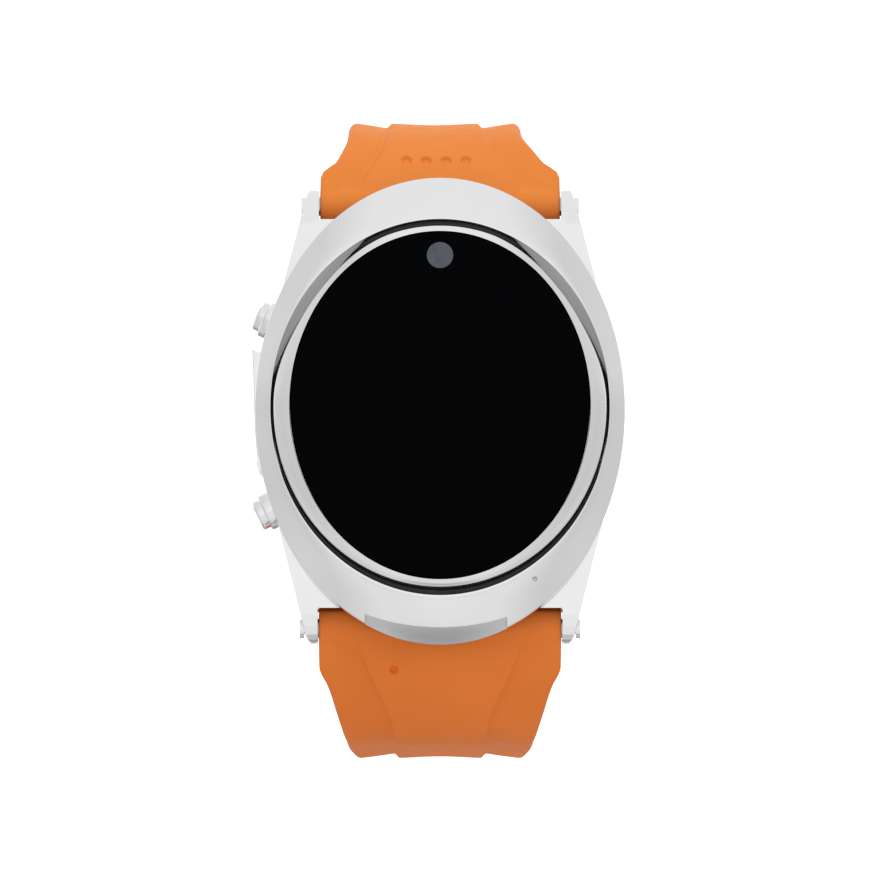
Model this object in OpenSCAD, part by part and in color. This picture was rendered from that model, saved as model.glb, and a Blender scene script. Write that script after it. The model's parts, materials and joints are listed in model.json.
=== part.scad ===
// Touch-screen sports watch with an oval steel case, side pushers, a hinged port door
// and an unfastened silicone strap. Dial up (+Z), 12 o'clock towards +Y, millimetres.
// The origin is the centre of the case back's flat outer face.

/* [Case] */
// Width of the polished bezel, across the dial
case_w = 46; // [44:0.5:48]
// Length of the polished bezel, from 12 to 6 o'clock
case_l = 58.6; // [58:0.1:59.4]
// Height from the case back to the top of the glass
case_h = 15; // [14.8:0.1:15.6]
// Height at which the bezel sits on the middle case
seam_z = 7.6; // [7.5:0.05:7.7]
// Gap between the lugs
lug_gap = 30.5; // [30.4:0.1:30.8]
// Number of sides that approximate each oval
oval_sides = 96; // [48:24:144]

/* [Glass] */
// Width of the glass
glass_w = 37.5; // [37:0.1:38]
// Length of the glass
glass_l = 43.4; // [43:0.1:44]
// Thickness of the glass
glass_t = 1.8; // [1.4:0.1:2.0]

/* [Pushers] */
// Angle of each pusher's axis away from 9 o'clock
pusher_angle = 26.5; // [24:0.5:29]
// Diameter of a pusher's cap
cap_d = 3.9; // [3.6:0.1:4.0]
// How far a pusher travels when pressed
pusher_travel = 0.8; // [0.6:0.1:0.8]

/* [Strap] */
// Width of the strap between the lugs
strap_w_lug = 30; // [29.6:0.1:30.1]
// Width of the strap beside the wrist
strap_w_side = 24; // [23:0.5:25]
// Width of the strap at the buckle and the tail
strap_w_end = 22; // [21:0.5:22]
// Thickness of the strap at the lugs
strap_t_lug = 5.0; // [4.6:0.1:5.1]
// Thickness of the strap along the wrist
strap_t = 3.4; // [3:0.1:3.6]
// Number of adjusting holes
hole_count = 9; // [5:1:10]
// Diameter of an adjusting hole
hole_d = 2.6; // [2.2:0.1:3]

/* [Buckle] */
// Length of the buckle from its pin to its outer edge
buckle_l = 11.4; // [10.5:0.1:12]
// Diameter of the buckle's pin
pin_d = 1.5; // [1.2:0.1:1.6]

/* [Hidden] */
$fn = 64;

steel = "#d9dadb";
dark_steel = "#8f9294";
rubber_black = "#26282a";
silicone = "#e08a4a";
eps = 0.01;
play = 0.05;

// Case: half sizes [x, y] of the nested ovals
bezel_out = [case_w, case_l] / 2;
gasket_out = [20.95, 23.5];
ring_out = [20.7, 22.7];
glass_half = [glass_w, glass_l] / 2;
ring_in = [17.6, 20.4];
body_half = [22.2, 26.4];
cavity_half = [19, 21.4];
back_half = [20.3, 22.5];
base_z = 0.6;
back_t = 1.4;
crest_z = case_h - 1.6;
widest_z = 8.9;
glass_z = case_h - glass_t;
slot_wall_y = 24.55;

// Lugs
lug_root_y = 13;
lug_tip_y = 28.7;
lug_half_root = 20.5;
lug_half_tip = 16.5;
bar_y = 26.8;
bar_z = 4.0;
bar_d = 2.4;
lug_screw_d = 1.4;
lug_face = mix(lug_half_root, lug_half_tip, (bar_y - lug_root_y) / (lug_tip_y - lug_root_y));

// Pushers, measured along their own axis from the collar's outer face
pusher_at = [22.05, 12.38, 4.9];
collar_d = 4.8;
collar_depth = 3.0;
tube_d = 3.0;
tube_end = 5.9;
stem_d = 1.2;
stem_end = 7.0;
cap_out = 0.95;
cap_in = 0.9;
spring_seat = 2.6;

// Port door, in plan
door_hinge = [-22, -6.4];
door_z = [2.2, 6.8];
door_pin_d = 0.8;
port_y = 1.4;
port_z = 4.7;

// Inner parts
screw_at = [13.2, 14.2];
board_z = 6.0;
camera_y = 18.7;

// Strap routes in the YZ plane, from the bar outwards: [length, radius], 0 for straight
start_dir = -14;
short_route = [[arc(76, 15.8), 15.8], [9.67, 0], [arc(84, 21.5), 21.5]];
long_route = [[arc(76, 15.8), 15.8], [23.17, 0], [arc(90, 24), 24], [37.5, 0]];
short_len = route_length(short_route);
long_len = route_length(long_route);
pin_place = walk(short_route, short_len, [bar_y, bar_z], start_dir);
keeper_bend = walk(short_route, short_len - short_route[2][0], [bar_y, bar_z], start_dir);
keeper_centre = keeper_bend[0] - [short_route[2][1], 0];
keeper_len = 13.3;
tail_t = 3;
keeper_wall = 1.3;
tail_room = 3.2;

// ---------- helpers ----------

function mix(a, b, t) = a + (b - a) * t;

// Length of an arc of some degrees
function arc(degrees, r) = PI * r * degrees / 180;

// Total length of a route
function route_length(route, i = 0) =
    i == len(route) ? 0 : route[i][0] + route_length(route, i + 1);

// Place and direction [[y, z], angle] after a distance along a route that turns clockwise
function walk(route, s, p, d, i = 0) =
    let (
        r = route[i][1],
        u = min(s, route[i][0]),
        turn = r == 0 ? 0 : u / r * 180 / PI,
        q = r == 0 ? p + u * [cos(d), sin(d)]
                   : p + r * [sin(d) - sin(d - turn), cos(d - turn) - cos(d)]
    )
    s <= route[i][0] || i == len(route) - 1 ? [q, d - turn]
                                            : walk(route, s - u, q, d - turn, i + 1);

// Value at x on a curve through [x, value] points
function along(points, x) = lookup(x, points);

// Solid between closed rings of points, joined in order; closed rings wrap round
module skin(rings, wrap) {
    n = len(rings[0]);
    m = len(rings);
    last = wrap ? m - 1 : m - 2;
    sides = [
        for (j = [0:last], i = [0:n - 1])
            let (k = (j + 1) % m, h = (i + 1) % n)
                each [
                    [j * n + i, k * n + i, k * n + h],
                    [j * n + i, k * n + h, j * n + h]
                ]
    ];
    caps = wrap ? [] : [
        [for (i = [0:n - 1]) i],
        [for (i = [n - 1:-1:0]) (m - 1) * n + i]
    ];
    polyhedron(points = [for (r = rings) each r], faces = concat(sides, caps));
}

function oval_points(half, n = oval_sides) =
    [for (i = [0:n - 1]) [half.x * cos(360 * i / n), half.y * sin(360 * i / n)]];

function oval_ring_points(half, z) = [for (p = oval_points(half)) [p.x, p.y, z]];

// Oval plate between two heights
module oval_plate(half, z0, z1) {
    translate([0, 0, z0]) linear_extrude(z1 - z0) polygon(oval_points(half));
}

// Oval tube between two heights
module oval_tube(outer, inner, z0, z1) {
    difference() {
        oval_plate(outer, z0, z1);
        oval_plate(inner, z0 - 1, z1 + 1);
    }
}

// Box from its lowest corner to its highest
module box(low, high) {
    translate(low) cube(high - low);
}

// Children drawn in the YZ plane: x outwards along angle turn, y on its left, z across the strap
module in_profile(p, turn = 0) {
    translate([0, p.x, p.y]) rotate([90, 0, 90]) rotate([0, 0, turn]) children();
}

// Rod along X, centred on the YZ point p
module cross_rod(p, d, length) {
    in_profile(p) translate([0, 0, -length / 2]) cylinder(d = d, h = length);
}

// Children along a pusher's axis, +Z outwards, origin on the collar's outer face
module at_pusher(side) {
    translate([-pusher_at.x, side * pusher_at.y, pusher_at.z])
        rotate([0, 0, 180 - side * pusher_angle])
            rotate([0, 90, 0])
                children();
}

module each_back_screw() {
    for (sx = [-1, 1], sy = [-1, 1])
        translate([sx * screw_at.x, sy * screw_at.y, 0]) children();
}

// ---------- case ----------

module lug_pair() {
    // Plan of both lugs at one end, trimmed to their side profile
    intersection() {
        translate([0, 0, base_z])
            linear_extrude(seam_z - base_z)
                for (s = [0, 1])
                    mirror([s, 0])
                        polygon([
                            [lug_gap / 2, lug_root_y],
                            [lug_half_root, lug_root_y],
                            [lug_half_tip + 0.25, lug_tip_y - 0.9],
                            [lug_half_tip - 0.05, lug_tip_y - 0.3],
                            [lug_half_tip - 0.4, lug_tip_y],
                            [lug_gap / 2 + 0.3, lug_tip_y],
                            [lug_gap / 2 + 0.08, lug_tip_y - 0.15],
                            [lug_gap / 2, lug_tip_y - 0.4]
                        ]);
        translate([-25, 0, 0])
            rotate([90, 0, 90])
                linear_extrude(50)
                    polygon([
                        [lug_root_y, base_z], [25.6, base_z + 0.4], [27.2, base_z + 1],
                        [28.3, base_z + 2], [lug_tip_y, base_z + 3], [lug_tip_y, 5.6],
                        [28.4, 6.3], [27.8, 6.8], [26.8, 7.2], [25.4, 7.45], [24, seam_z],
                        [lug_root_y, seam_z]
                    ]);
    }
}

module mid_case() {
    color(steel)
        difference() {
            union() {
                difference() {
                    union() {
                        oval_plate(body_half, base_z, seam_z);
                        // Shoulders that fill the corners between the body and the lugs
                        for (s = [0, 1])
                            mirror([0, s, 0])
                                box([-lug_gap / 2 - 0.5, lug_root_y + 3, base_z + 0.6],
                                    [lug_gap / 2 + 0.5, slot_wall_y, seam_z]);
                    }
                    oval_plate(cavity_half, base_z - 1, seam_z + 1);
                    for (s = [0, 1])
                        mirror([0, s, 0]) {
                            box([-lug_gap / 2, slot_wall_y, 0], [lug_gap / 2, 30, 9]);
                            cross_rod([bar_y, bar_z], strap_t_lug + 0.8, lug_gap);
                        }
                }
                for (s = [0, 1])
                    mirror([0, s, 0])
                        difference() {
                            lug_pair();
                            oval_plate(cavity_half + [1.2, 1.2], 0, 9);
                        }
                intersection() {
                    each_back_screw() translate([0, 0, 2]) cylinder(r = 1.9, h = board_z - 2);
                    oval_plate(cavity_half + [1, 1], 2, board_z);
                }
                for (z = [[1.2, door_z[0] - 0.1], [door_z[1] + 0.1, 7.5]]) {
                    translate([door_hinge.x, door_hinge.y, z[0]])
                        cylinder(r = 0.95, h = z[1] - z[0]);
                    box([door_hinge.x, door_hinge.y - 0.95, z[0]], [-20.6, door_hinge.y + 0.95, z[1]]);
                }
            }
            oval_plate(back_half + [play, play], 0, back_t + 0.5);
            each_back_screw() cylinder(d = lug_screw_d, h = 5.2);
            for (s = [-1, 1]) {
                at_pusher(s) translate([0, 0, -collar_depth]) cylinder(d = collar_d, h = 6);
                at_pusher(s) translate([0, 0, -8]) cylinder(d = tube_d, h = 9);
                cross_rod([s * bar_y, bar_z], lug_screw_d, 60);
                for (t = [0, 1])
                    mirror([t, 0, 0])
                        in_profile([s * bar_y, bar_z]) translate([0, 0, lug_face]) cylinder(d = 2.6, h = 5);
            }
            box([-24, door_hinge.y, door_z[0] - 0.1], [-21.8, 8.9, door_z[1] + 0.1]);
            translate([door_hinge.x, door_hinge.y, door_z[0] - 0.1])
                cylinder(r = 0.85, h = door_z[1] - door_z[0] + 0.2);
            box([-22, port_y - 4, port_z - 1.5], [-18, port_y + 4, port_z + 1.5]);
            translate([door_hinge.x, door_hinge.y, 1.5]) cylinder(d = door_pin_d, h = 5.7);
        }
}

// One oval ring of the bezel's domed face: turn 0 at the crest, 90 at the widest point
function dome_ring(turn) =
    oval_ring_points(
        mix(gasket_out + [play, play], bezel_out, (sin(turn) - sin(dome_from)) / (1 - sin(dome_from))),
        widest_z + (crest_z - widest_z) * cos(turn) / cos(dome_from)
    );
dome_from = 14;

module bezel() {
    hole = gasket_out + [play, play];
    notch = [-9.3, 8.3];
    color(steel)
        difference() {
            skin(concat(
                [oval_ring_points(bezel_out - [0.5, 0.5], seam_z)],
                [for (i = [7:-1:0]) dome_ring(mix(dome_from, 90, i / 7))],
                [oval_ring_points(hole, seam_z)]
            ), true);
            // Pinhole over the microphone
            translate([11.7, -21.5, seam_z - 1]) cylinder(d = 0.6, h = case_h);
            // Grip notch at 6 o'clock: a steep face cut across the dome
            difference() {
                box([notch[0], -31, seam_z - 1], [notch[1], -20, crest_z + 1]);
                skin([
                    oval_ring_points([25.3, case_l / 2 + 0.6], 6.6),
                    oval_ring_points([25.3, case_l / 2 - 3.1], crest_z + 1.2)
                ], false);
            }
        }
}

module bezel_gasket() {
    color(rubber_black)
        oval_tube(gasket_out, ring_out + [play, play], seam_z + 1.6, crest_z - 0.55);
}

module inner_ring() {
    lip = glass_half + [play, play];
    color(steel)
        skin([
            oval_ring_points(ring_out, seam_z),
            oval_ring_points(ring_out, case_h - 1.3),
            oval_ring_points(mix(lip, ring_out, 0.93), case_h - 0.55),
            oval_ring_points(mix(lip, ring_out, 0.72), case_h - 0.15),
            oval_ring_points(mix(lip, ring_out, 0.2), case_h),
            oval_ring_points(lip, case_h - 0.1),
            oval_ring_points(lip, glass_z - 0.29),
            oval_ring_points(ring_in, glass_z - 0.3),
            oval_ring_points(ring_in, seam_z)
        ], true);
}

module glass() {
    color("#050506")
        difference() {
            union() {
                oval_plate(glass_half, glass_z - 0.28, case_h - 0.3);
                skin([
                    oval_ring_points(glass_half, case_h - 0.3 - eps),
                    oval_ring_points(glass_half - [0.3, 0.3], case_h - 0.05)
                ], false);
            }
            translate([0, camera_y, case_h - 0.4]) cylinder(d = 3.3, h = 1);
        }
}

module camera_window() {
    color("#5c5e63")
        translate([0, camera_y, case_h - 0.4]) cylinder(d = 3.3, h = 0.35);
}

module touch_sensor() {
    color("#1c2030")
        difference() {
            oval_plate(ring_in - [0.1, 0.1], glass_z - 0.6, glass_z - 0.28);
            translate([0, camera_y, 0]) cylinder(d = 3, h = case_h);
        }
}

module display_panel() {
    color("#101318") {
        box([-13, -13.5, 11.1], [13, 13.5, glass_z - 0.6]);
    }
}

module display_flex() {
    color("#b5722a")
        translate([-4, 0, 0])
            rotate([90, 0, 90])
                linear_extrude(8)
                    polygon([
                        [-13.5, 11.6], [-15.4, 11.6], [-15.4, 7.1], [-12, 7.1], [-12, 6.9],
                        [-15.6, 6.9], [-15.6, 11.8], [-13.5, 11.8]
                    ]);
}

module carrier_frame() {
    color("#34373b")
        difference() {
            oval_plate(ring_in - [0.1, 0.1], 8.6, 11.1);
            oval_plate(ring_in - [1.3, 1.3], 8, 9.8);
            box([-4.6, -16.2, 8], [4.6, -13.6, 12]);
            box([-3.2, 14.8, 8], [3.2, 21, 12]);
            box([-8, -8, 9], [8, 8, 12]);
        }
}

module camera_module() {
    color("#2b2d30") {
        box([-2.8, 15.2, 8.9], [2.8, 20, 11.6]);
        translate([0, 17.7, 11.6 - eps]) cylinder(d = 4.2, h = 1);
    }
}

module main_board() {
    color("#1d6b42")
        difference() {
            oval_plate(cavity_half - [0.8, 0.8], board_z, board_z + 0.9);
            for (s = [-1, 1])
                at_pusher(s) translate([0, 0, -9]) cylinder(d = 3.4, h = 9);
        }
}

module shield_can() {
    color(dark_steel)
        difference() {
            box([-10, -12, board_z + 0.9], [4, -2, board_z + 2.5]);
            box([-9.8, -11.8, board_z + 0.8], [3.8, -2.2, board_z + 2.3]);
        }
}

module gps_antenna() {
    color("#e8e2d2") {
        box([3.5, 4.5, board_z + 0.9], [12.5, 13.5, board_z + 2.5]);
    }
    color("#c8cacc") box([4.5, 5.5, board_z + 2.5], [11.5, 12.5, board_z + 2.6]);
}

module sim_socket() {
    color(dark_steel)
        difference() {
            box([-13, 2, board_z + 0.9], [1, 13, board_z + 2.2]);
            box([-13.1, 2.6, board_z + 1.2], [0.4, 12.4, board_z + 1.9]);
        }
}

module usb_socket() {
    color(dark_steel)
        difference() {
            box([-20.6, port_y - 3.8, port_z - 1.3], [-15.4, port_y + 3.8, port_z + 1.3]);
            box([-20.7, port_y - 3.5, port_z - 1], [-16, port_y + 3.5, port_z + 1]);
        }
    color("#1b1b1b") box([-19.6, port_y - 2.6, port_z - 0.3], [-16, port_y + 2.6, port_z + 0.3]);
}

module microphone() {
    color("#b9bcbf") box([7, -17.2, board_z + 0.9], [9.6, -14.8, board_z + 1.9]);
}

module speaker() {
    color("#3a3c40")
        difference() {
            translate([2, -15, 2.1]) cylinder(d = 11, h = 2.8);
            translate([2, -15, 1.5]) cylinder(d = 7, h = 1.1);
        }
}

module vibration_motor() {
    color("#c3c5c8") translate([4, 15.2, 2.1]) cylinder(d = 8, h = 2.7);
}

module battery() {
    color("#8fa3b8")
        translate([1.2, 0.4, 2.1])
            linear_extrude(3.5)
                polygon([
                    [-12.5, -8], [-11.5, -9], [11.5, -9], [12.5, -8],
                    [12.5, 8], [11.5, 9], [-11.5, 9], [-12.5, 8]
                ]);
}

module case_back() {
    color(steel)
        difference() {
            oval_plate(back_half, 0, back_t);
            each_back_screw() {
                translate([0, 0, -1]) cylinder(d = 1.6, h = 5);
                translate([0, 0, -eps]) cylinder(d = 2.6, h = 0.75 + eps);
            }
            // Sound holes under the speaker
            translate([2, -15, -1]) cylinder(d = 0.8, h = 4);
            for (a = [0:60:300])
                translate([2 + 1.9 * cos(a), -15 + 1.9 * sin(a), -1]) cylinder(d = 0.8, h = 4);
            // Engraved oval line round the flat centre
            oval_tube([15, 17], [14.4, 16.4], -1, 0.15);
        }
}

module case_back_gasket() {
    color(rubber_black)
        difference() {
            oval_tube(back_half - [0.1, 0.1], cavity_half + [0.1, 0.1], back_t, back_t + 0.5);
            each_back_screw() cylinder(d = 2.2, h = 5);
        }
}

module case_back_screws() {
    color(dark_steel)
        each_back_screw()
            difference() {
                union() {
                    translate([0, 0, 0.1]) cylinder(d = 2.4, h = 0.65);
                    translate([0, 0, 0.1]) cylinder(d = 1.4, h = 4.9);
                }
                for (turn = [0, 90])
                    rotate([0, 0, turn]) box([-0.8, -0.15, 0], [0.8, 0.15, 0.4]);
            }
}

// ---------- pushers ----------

module tact_switch(side) {
    color("#d2d4d6")
        at_pusher(side)
            box([-1.1, -1.7, -stem_end - pusher_travel - 1.6],
                [1.1, 1.7, -stem_end - pusher_travel - play]);
}

module pusher(side) {
    color(steel)
        at_pusher(side) {
            difference() {
                translate([0, 0, -cap_in]) cylinder(d = cap_d, h = cap_in + cap_out - 0.2);
                translate([0, 0, cap_out - 0.35]) cylinder(d = 2.4, h = 1);
            }
            translate([0, 0, cap_out - 0.36]) cylinder(d = 2.4, h = 0.26);
            translate([0, 0, cap_out - 0.2 - eps])
                difference() {
                    cylinder(d1 = cap_d, d2 = cap_d - 0.4, h = 0.2);
                    translate([0, 0, -1]) cylinder(d = 2.4, h = 2);
                }
            translate([0, 0, -stem_end]) cylinder(d = stem_d, h = stem_end - cap_in + eps);
        }
}

module collar(side) {
    color(steel)
        at_pusher(side)
            difference() {
                union() {
                    translate([0, 0, -collar_depth]) cylinder(d = collar_d, h = collar_depth - 0.2);
                    translate([0, 0, -0.2 - eps]) cylinder(d1 = collar_d, d2 = collar_d - 0.4, h = 0.2);
                    translate([0, 0, -tube_end]) cylinder(d = tube_d, h = tube_end - collar_depth + eps);
                }
                translate([0, 0, -spring_seat]) cylinder(d = cap_d + 2 * play, h = 5);
                translate([0, 0, -8]) cylinder(d = stem_d + 2 * play, h = 9);
                translate([0, 0, -4.8]) cylinder(d = 2.4, h = 0.8);
            }
}

// Coil spring between the collar's seat and the cap
module push_spring(side) {
    wire = 0.11;
    coil = 1.25;
    turns = 2.5;
    steps = 14;
    rise = spring_seat - cap_in - 2 * wire - 2 * play;
    color(dark_steel)
        at_pusher(side)
            translate([0, 0, -spring_seat + wire + play])
                skin([
                    for (i = [0:turns * steps])
                        let (a = 360 * i / steps, z = rise * i / (turns * steps))
                            [for (k = [0:5])
                                let (r = coil + wire * cos(60 * k))
                                    [r * cos(a), r * sin(a), z - wire * sin(60 * k)]]
                ], false);
}

module o_ring(side) {
    color(rubber_black)
        at_pusher(side)
            translate([0, 0, -4.4])
                rotate_extrude() translate([0.9, 0]) circle(r = 0.27, $fn = 24);
}

module retaining_clip(side) {
    color(dark_steel)
        at_pusher(side)
            translate([0, 0, -tube_end - 0.4])
                difference() {
                    cylinder(d = 2.6, h = 0.3);
                    translate([0, 0, -1]) cylinder(d = stem_d, h = 2);
                    box([0, -0.35, -1], [2, 0.35, 1]);
                }
}

// ---------- port door ----------

module port_door() {
    color(steel)
        difference() {
            union() {
                translate([0, 0, door_z[0]])
                    linear_extrude(door_z[1] - door_z[0])
                        polygon([
                            [-21.95, -6.4], [-21.95, 7.5], [-22.35, 7.9], [-22.9, 7.7],
                            [-23.6, 8.2], [-23.45, 5.5], [-23.35, 2], [-23.2, -2],
                            [-22.95, -5], [-22.75, -6.4]
                        ]);
                translate([door_hinge.x, door_hinge.y, door_z[0]])
                    cylinder(r = 0.75, h = door_z[1] - door_z[0]);
            }
            translate([door_hinge.x, door_hinge.y, 0]) cylinder(d = door_pin_d + 2 * play, h = 9);
        }
}

module port_seal() {
    color(rubber_black) box([-21.95, port_y - 3.5, port_z - 1.1], [-21.1, port_y + 3.5, port_z + 1.1]);
}

module port_hinge_pin() {
    color(dark_steel)
        translate([door_hinge.x, door_hinge.y, 1.5]) cylinder(d = door_pin_d, h = 5.7);
}

// ---------- strap hardware ----------

module strap_bar(side) {
    color(dark_steel)
        difference() {
            cross_rod([side * bar_y, bar_z], bar_d, lug_gap);
            cross_rod([side * bar_y, bar_z], lug_screw_d, lug_gap + 1);
        }
}

module lug_screws() {
    color(dark_steel)
        for (t = [0, 1], sy = [-1, 1])
            mirror([t, 0, 0])
                in_profile([sy * bar_y, bar_z])
                    difference() {
                        union() {
                            translate([0, 0, 11]) cylinder(d = lug_screw_d, h = lug_face - 10.9);
                            translate([0, 0, lug_face]) cylinder(d = 2.4, h = 0.55);
                        }
                        box([-2, -0.2, lug_face + 0.3], [2, 0.2, lug_face + 1]);
                    }
}

// ---------- strap ----------

// Half width of each half along its length
short_width = [
    [0, strap_w_lug / 2], [5.2, strap_w_lug / 2], [7.4, 12.6], [12, 12.1],
    [22, strap_w_side / 2], [33, strap_w_end / 2], [200, strap_w_end / 2]
];
long_width = [
    [0, strap_w_lug / 2], [4.2, strap_w_lug / 2], [7, 14.1], [11, 13.2], [15.5, 12.5],
    [21, 12.1], [34, strap_w_side / 2], [60, strap_w_end / 2], [200, strap_w_end / 2]
];
half_thick = [
    [0, strap_t_lug / 2], [10, 1.95], [20, strap_t / 2], [60, strap_t / 2],
    [80, tail_t / 2], [200, tail_t / 2]
];
panel_half = [[0, 10.5], [3, 9.5], [6, 8.3], [9, 7.1], [12, 6.2], [16, 5.8], [21, 5.6], [200, 5.4]];
relief_depth = [[0, 1], [62, 1], [78, 0.1], [200, 0.1]];

// Cross-section: flat inside, raised edges and a shallow centre panel outside
function strap_section(hw, ht, pw, relief) =
    let (
        c = min(0.9, hw / 3),
        k = c * 0.3,
        w = min(pw, hw - c - 0.6)
    )
    [
        [hw - c, -ht], [-hw + c, -ht], [-hw + k, -ht + k], [-hw, -ht + c],
        [-hw, ht - c], [-hw + k, ht - k], [-hw + c, ht],
        [-w - 0.4, ht - 0.45 * relief], [-w, ht - 0.2 * relief], [0, ht - 0.35 * relief],
        [w, ht - 0.2 * relief], [w + 0.4, ht - 0.45 * relief],
        [hw - c, ht], [hw - k, ht - k], [hw, ht - c], [hw, -ht + c], [hw - k, -ht + k]
    ];

// One station of the strap in space
function strap_ring(route, s, section) =
    let (at = walk(route, s, [bar_y, bar_z], start_dir), p = at[0], d = at[1])
    [for (q = section) [q.x, p.x - q.y * sin(d), p.y + q.y * cos(d)]];

module short_body() {
    steps = 38;
    skin([
        for (i = [0:steps])
            let (s = 0.4 + (short_len - 0.4) * pow(i / steps, 1.3))
                strap_ring(short_route, s,
                    strap_section(along(short_width, s), along(half_thick, s), along(panel_half, s), 1))
    ], false);
}

// Curved part of the long half
module long_body() {
    steps = 44;
    bend_len = long_len - long_route[3][0] + 0.3;
    skin([
        for (i = [0:steps])
            let (s = 0.4 + (bend_len - 0.4) * pow(i / steps, 1.2))
                strap_ring(long_route, s,
                    strap_section(along(long_width, s), along(half_thick, s), along(panel_half, s),
                        along(relief_depth, s)))
    ], false);
}

// Flat tail of the long half, with a rounded tip
module long_tail() {
    at = walk(long_route, long_len, [bar_y, bar_z], start_dir);
    tail_l = long_route[3][0];
    hw = strap_w_end / 2;
    translate([0, at[0].x, at[0].y - tail_t / 2])
        linear_extrude(tail_t) {
            translate([-hw, hw + 1]) square([2 * hw, tail_l - hw - 1]);
            intersection() {
                translate([-hw, 0]) square([2 * hw, hw + 2]);
                translate([0, hw + 1]) circle(r = hw + 1);
            }
        }
}

// Round dimple in the strap's outer face, at a distance along it
module dimple(route, x, s) {
    at = walk(route, s, [bar_y, bar_z], start_dir);
    in_profile(at[0], at[1])
        rotate([-90, 0, 0]) translate([0, -x, -along(half_thick, s) - 0.1]) cylinder(d = 1.4, h = 0.8);
}

module strap_short() {
    end_r = 1.9;
    color(silicone)
        difference() {
            union() {
                short_body();
                cross_rod([bar_y, bar_z], strap_t_lug, strap_w_lug);
                cross_rod(pin_place[0], 2 * end_r, strap_w_end);
            }
            cross_rod([bar_y, bar_z], bar_d + 2 * play, 40);
            cross_rod(pin_place[0], pin_d + 2 * play, 40);
            // Slot for the tongue and a relief under the buckle's ears
            in_profile(pin_place[0], pin_place[1]) box([-4.2, -3, -1.8], [3, 3, 1.8]);
            for (i = [-1.5:1:1.5]) dimple(short_route, 2.5 * i - 0.4, 5.9);
        }
}

module strap_long() {
    color(silicone)
        mirror([0, 1, 0])
            difference() {
                union() {
                    long_body();
                    long_tail();
                    cross_rod([bar_y, bar_z], strap_t_lug, strap_w_lug);
                }
                cross_rod([bar_y, bar_z], bar_d + 2 * play, 40);
                dimple(long_route, -5.8, 5.5);
                for (i = [0:hole_count - 1]) {
                    at = walk(long_route, long_len - 14 - 7 * i, [bar_y, bar_z], start_dir);
                    in_profile(at[0], at[1])
                        rotate([-90, 0, 0]) translate([0, 0, -4]) cylinder(d = hole_d, h = 8);
                }
            }
}

// Loop round the strap, centred at an angle below the bend's centre
module keeper(turn, gap) {
    r = short_route[2][1];
    hw = strap_w_end / 2 + gap;
    low = r - strap_t / 2 - gap;
    high = r + strap_t / 2 + gap + tail_room;
    color(silicone)
        in_profile(keeper_centre, -turn - keeper_len / 2)
            rotate_extrude(angle = keeper_len)
                difference() {
                    translate([low - keeper_wall, -hw - keeper_wall])
                        square([high - low + 2 * keeper_wall, 2 * (hw + keeper_wall)]);
                    translate([low, -hw]) square([high - low, 2 * hw]);
                }
}

module fixed_keeper() {
    keeper(63, 0.05);
}

module free_keeper() {
    keeper(39, 0.22);
}

// ---------- buckle, in profile from the pin: x outwards, y to the outside, z across ----------

module buckle_frame() {
    inner = strap_w_end / 2 + 0.3;
    outer = inner + 2.1;
    color(steel)
        in_profile(pin_place[0], pin_place[1])
            difference() {
                union() {
                    for (s = [-1, 1])
                        translate([0, 0, s == 1 ? inner : -outer]) {
                            cylinder(d = 3.6, h = outer - inner);
                            box([0, -1.3, 0], [buckle_l - 1.2, 1.2, outer - inner]);
                        }
                    translate([buckle_l - 1.2, 0, -outer]) {
                        intersection() {
                            cylinder(r = 1.3, h = 2 * outer);
                            box([-2, -1.3, 0], [2, 0.5, 2 * outer]);
                        }
                        intersection() {
                            cylinder(r = 1.3, h = 2 * outer);
                            union() {
                                box([-2, -1.3, 0], [2, 1.2, outer - 3]);
                                box([-2, -1.3, outer + 3], [2, 1.2, 2 * outer]);
                            }
                        }
                    }
                }
                translate([0, 0, -20]) cylinder(d = pin_d, h = 40);
            }
}

module buckle_pin() {
    color(dark_steel) cross_rod(pin_place[0], pin_d, strap_w_end + 4.4);
}

module buckle_tongue() {
    color(steel)
        in_profile(pin_place[0], pin_place[1])
            difference() {
                union() {
                    translate([0, 0, -1.4]) cylinder(d = 3.1, h = 2.8);
                    translate([0, 0, -1.3])
                        linear_extrude(2.6)
                            polygon([
                                [0, 0.55], [buckle_l - 0.6, 0.55], [buckle_l - 0.2, 0.8],
                                [buckle_l - 0.2, 1.15], [buckle_l - 0.8, 1.45], [0, 1.5]
                            ]);
                }
                translate([0, 0, -5]) cylinder(d = pin_d + 2 * play, h = 10);
            }
}

mid_case();
bezel();
bezel_gasket();
inner_ring();
glass();
camera_window();
touch_sensor();
display_panel();
display_flex();
carrier_frame();
camera_module();
main_board();
shield_can();
gps_antenna();
sim_socket();
usb_socket();
microphone();
speaker();
vibration_motor();
battery();
case_back();
case_back_gasket();
case_back_screws();
tact_switch(1);  // upper_switch
tact_switch(-1);  // lower_switch
pusher(1);  // upper_pusher
collar(1);  // upper_collar
push_spring(1);  // upper_spring
o_ring(1);  // upper_o_ring
retaining_clip(1);  // upper_clip
pusher(-1);  // lower_pusher
collar(-1);  // lower_collar
push_spring(-1);  // lower_spring
o_ring(-1);  // lower_o_ring
retaining_clip(-1);  // lower_clip
port_door();
port_seal();
port_hinge_pin();
strap_bar(1);  // upper_bar
strap_bar(-1);  // lower_bar
lug_screws();
strap_short();
strap_long();
fixed_keeper();
free_keeper();
buckle_frame();
buckle_pin();
buckle_tongue();
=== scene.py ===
"""Looks for a touch-screen sports watch: polished oval case, black glass and an open silicone strap.

Sizes are in millimetres in the row frame: X right, Y towards 12 o'clock, Z out of the glass.
A shape is a pair of points and faces. MM turns it into metres when it becomes a mesh.
"""
import json
import math

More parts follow.
